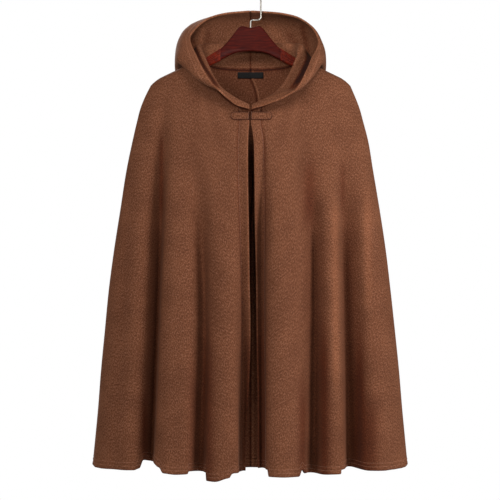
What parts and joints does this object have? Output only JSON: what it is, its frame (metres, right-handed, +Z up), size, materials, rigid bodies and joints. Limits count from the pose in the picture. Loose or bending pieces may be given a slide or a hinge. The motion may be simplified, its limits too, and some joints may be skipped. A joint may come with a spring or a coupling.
{
  "type": "hooded open-front cape on a clothes hanger",
  "caption": "Long hooded cape of brown wool-like cloth, open in front with a short closure tab, hanging on a wooden clothes hanger with ribbed sleeves and a wire hook.",
  "frame": {"origin": "inside top of the hanger's hook, where a rail carries it", "axes": "+Z up; -Y is the cape's front; +X is the wearer's left"},
  "size_m": [0.6609, 0.2609, 1.0295],
  "materials": {
    "cloth": "brushed wool-like cloth, dark chestnut brown, matte with a short nap",
    "label": "black woven tape, bare",
    "mahogany": "dark red-brown stained wood, satin lacquer",
    "sleeve_rubber": "orange-red ribbed rubber, satin",
    "nickel_wire": "bright nickel-plated steel wire"
  },
  "bodies": {
    "root": {"front_right": "cloth", "front_left": "cloth", "back_right": "cloth", "back_left": "cloth", "hood_right": "cloth", "hood_left": "cloth", "tab_right": "cloth", "tab_left": "cloth", "neck_label": "label", "hanger_wood": "mahogany", "hanger_sleeve_right": "sleeve_rubber", "hanger_sleeve_left": "sleeve_rubber", "hanger_hook": "nickel_wire"}
  },
  "joints": []
}
